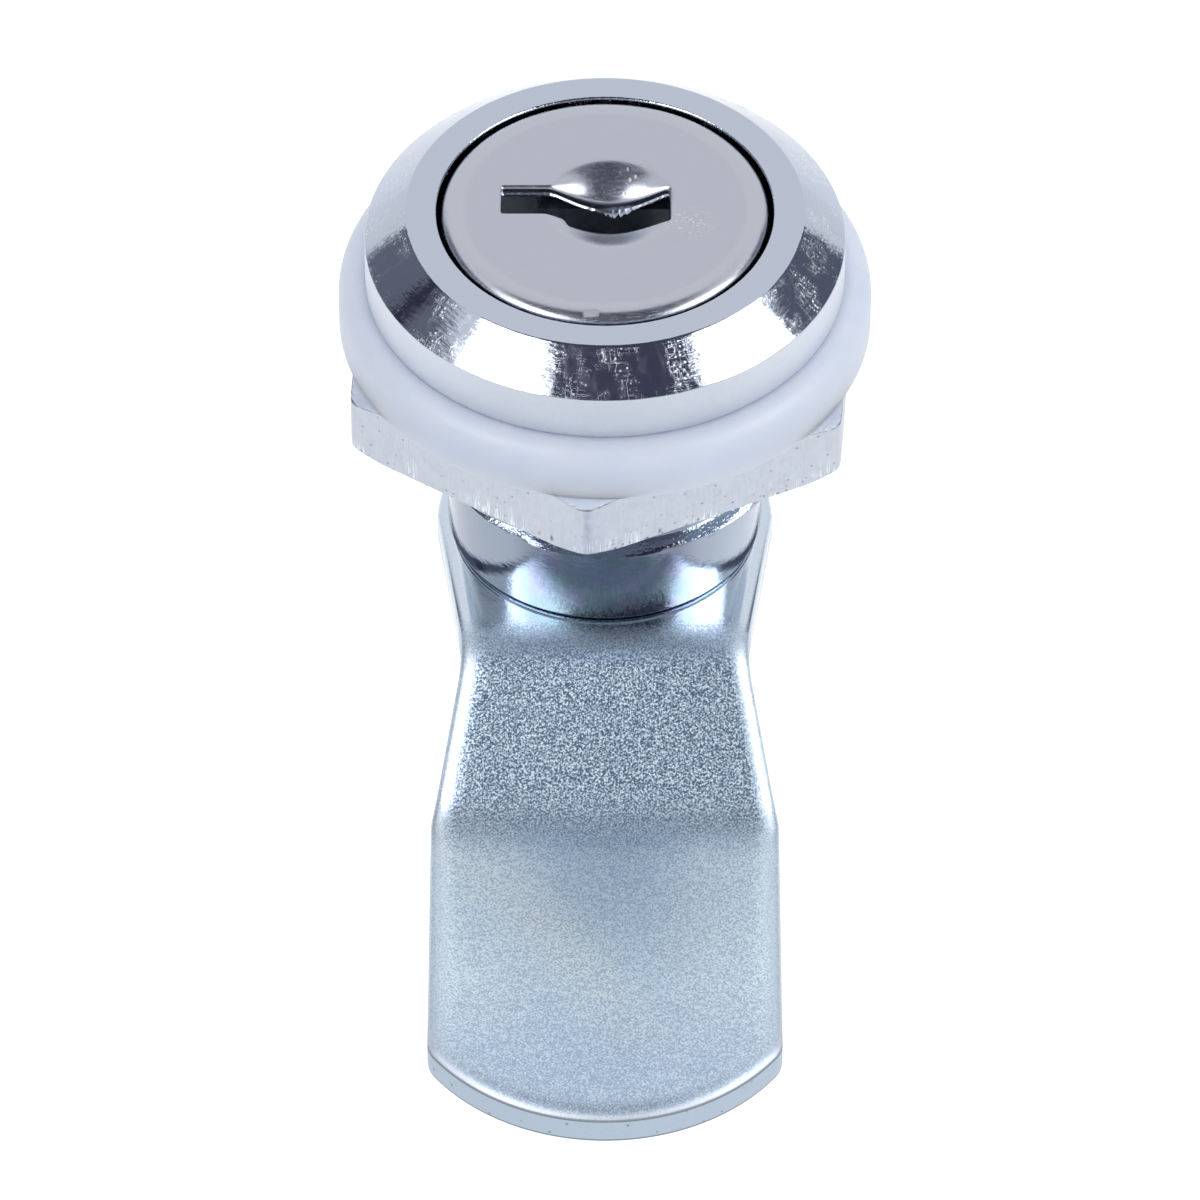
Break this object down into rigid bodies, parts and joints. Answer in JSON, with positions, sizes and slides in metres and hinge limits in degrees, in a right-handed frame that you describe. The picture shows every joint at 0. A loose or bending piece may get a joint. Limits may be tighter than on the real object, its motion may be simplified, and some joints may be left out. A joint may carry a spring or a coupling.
{
  "type": "cam lock",
  "caption": "Quarter-turn cam lock: bevelled round flange, key slot in a pressed face, plastic washer, hex nut, threaded barrel and a flat cranked cam.",
  "frame": {"origin": "on the lock's axis, in the plane of the sealing washer's underside, where the washer meets the front of the panel", "axes": "+Z runs along the lock's axis out of its face; the cam points along -Y at rest and +X is to the right as seen from the front"},
  "size_m": [0.031, 0.059, 0.0334],
  "materials": {
    "chrome": "bright chrome plate on a zinc die casting",
    "nylon": "translucent natural white plastic, satin",
    "zinc_plate": "zinc plated steel, scratched",
    "cast_zinc": "bare die-cast zinc",
    "satin_nickel": "satin plated pressed sheet",
    "blue_zinc_plate": "bluish zinc plate with a fine speckled grain",
    "brass": "stamped brass",
    "spring_steel": "spring steel"
  },
  "bodies": {
    "lock_body": {"housing": "chrome", "sealing_washer": "nylon", "hex_nut": "zinc_plate"},
    "turning_plug": {"plug": "cast_zinc", "face_cap": "satin_nickel", "cam": "blue_zinc_plate", "lock_washer": "spring_steel", "cam_screw": "zinc_plate", "wafer_spring_1": "spring_steel", "wafer_spring_2": "spring_steel", "wafer_spring_3": "spring_steel", "wafer_spring_4": "spring_steel", "wafer_spring_5": "spring_steel", "wafer_spring_6": "spring_steel", "retaining_spring": "spring_steel"},
    "wafer_1_body": {"wafer_1": "brass"},
    "wafer_2_body": {"wafer_2": "brass"},
    "wafer_3_body": {"wafer_3": "brass"},
    "wafer_4_body": {"wafer_4": "brass"},
    "wafer_5_body": {"wafer_5": "brass"},
    "wafer_6_body": {"wafer_6": "brass"},
    "retaining_wafer_body": {"retaining_wafer": "brass"}
  },
  "joints": [
    {"name": "plug_turn", "type": "hinge", "parent": "lock_body", "child": "turning_plug", "pos_m": [0, 0, 0], "axis": [0, 0, 1], "range_deg": [0, 90]},
    {"name": "wafer_1_slide", "type": "slide", "parent": "turning_plug", "child": "wafer_1_body", "axis": [1, 0, 0], "range_m": [0, 0.0008], "stiffness_N_per_m": 100, "springref_m": 0.0012, "deforming": ["wafer_spring_1"]},
    {"name": "wafer_2_slide", "type": "slide", "parent": "turning_plug", "child": "wafer_2_body", "axis": [-1, 0, 0], "range_m": [0, 0.0008], "stiffness_N_per_m": 100, "springref_m": 0.0012, "deforming": ["wafer_spring_2"]},
    {"name": "wafer_3_slide", "type": "slide", "parent": "turning_plug", "child": "wafer_3_body", "axis": [1, 0, 0], "range_m": [0, 0.0008], "stiffness_N_per_m": 100, "springref_m": 0.0012, "deforming": ["wafer_spring_3"]},
    {"name": "wafer_4_slide", "type": "slide", "parent": "turning_plug", "child": "wafer_4_body", "axis": [-1, 0, 0], "range_m": [0, 0.0008], "stiffness_N_per_m": 100, "springref_m": 0.0012, "deforming": ["wafer_spring_4"]},
    {"name": "wafer_5_slide", "type": "slide", "parent": "turning_plug", "child": "wafer_5_body", "axis": [1, 0, 0], "range_m": [0, 0.0008], "stiffness_N_per_m": 100, "springref_m": 0.0012, "deforming": ["wafer_spring_5"]},
    {"name": "wafer_6_slide", "type": "slide", "parent": "turning_plug", "child": "wafer_6_body", "axis": [-1, 0, 0], "range_m": [0, 0.0008], "stiffness_N_per_m": 100, "springref_m": 0.0012, "deforming": ["wafer_spring_6"]},
    {"name": "retaining_wafer_slide", "type": "slide", "parent": "turning_plug", "child": "retaining_wafer_body", "axis": [-1, 0, 0], "range_m": [0, 0.0008], "stiffness_N_per_m": 100, "springref_m": -0.0006, "deforming": ["retaining_spring"]}
  ]
}
